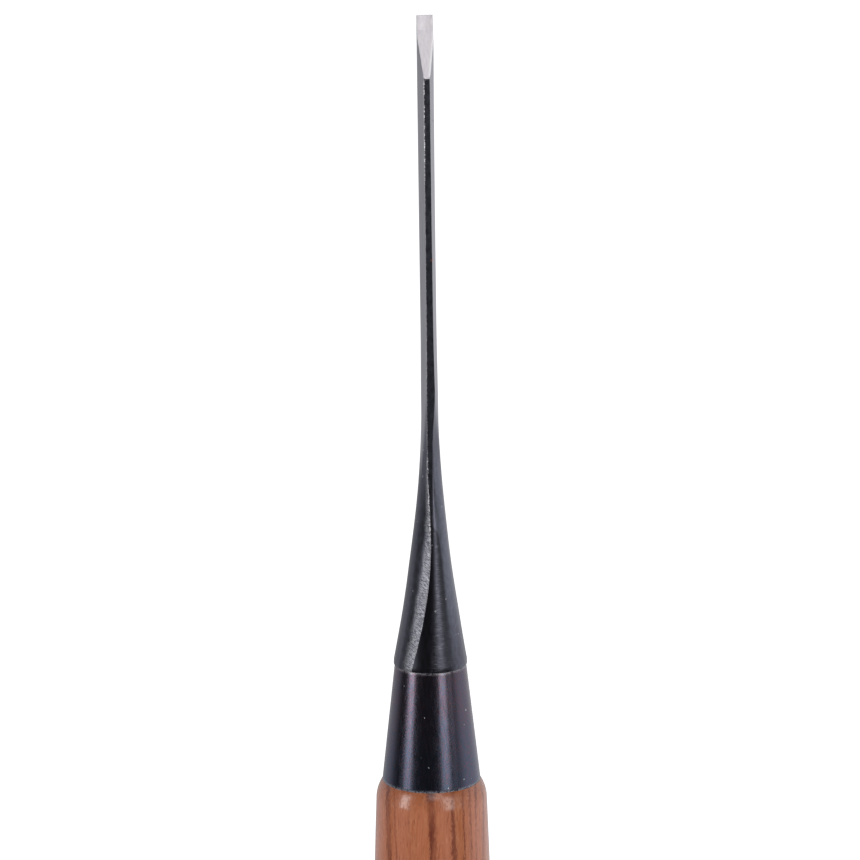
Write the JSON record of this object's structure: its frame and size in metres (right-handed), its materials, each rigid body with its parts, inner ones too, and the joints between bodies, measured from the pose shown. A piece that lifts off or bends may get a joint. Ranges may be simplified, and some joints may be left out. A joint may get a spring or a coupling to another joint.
{
  "type": "v parting tool",
  "caption": "Slender forged triangular-section carving chisel with a flaring neck, a conical ferrule, and a turned wooden handle hooped at its struck end.",
  "frame": {"origin": "centre of the handle's flat butt end, where the tool stands on end", "axes": "+Z along the tool from the butt to the cutting edge, -Y out of the keel and bevel side, +X across the blade"},
  "size_m": [0.0278, 0.0278, 0.2867],
  "materials": {
    "forged_iron": "black forge scale, ground bare on the blade's faces and bevel",
    "cutting_steel": "hardened steel, ground and honed",
    "ferrule_steel": "blued black oxide, satin",
    "red_oak": "turned red oak, thin clear finish",
    "hoop_iron": "blackened iron, worn at the edges"
  },
  "bodies": {
    "root": {"iron_body": "forged_iron", "cutting_steel": "cutting_steel", "ferrule": "ferrule_steel", "handle": "red_oak", "hoop": "hoop_iron"}
  },
  "joints": []
}
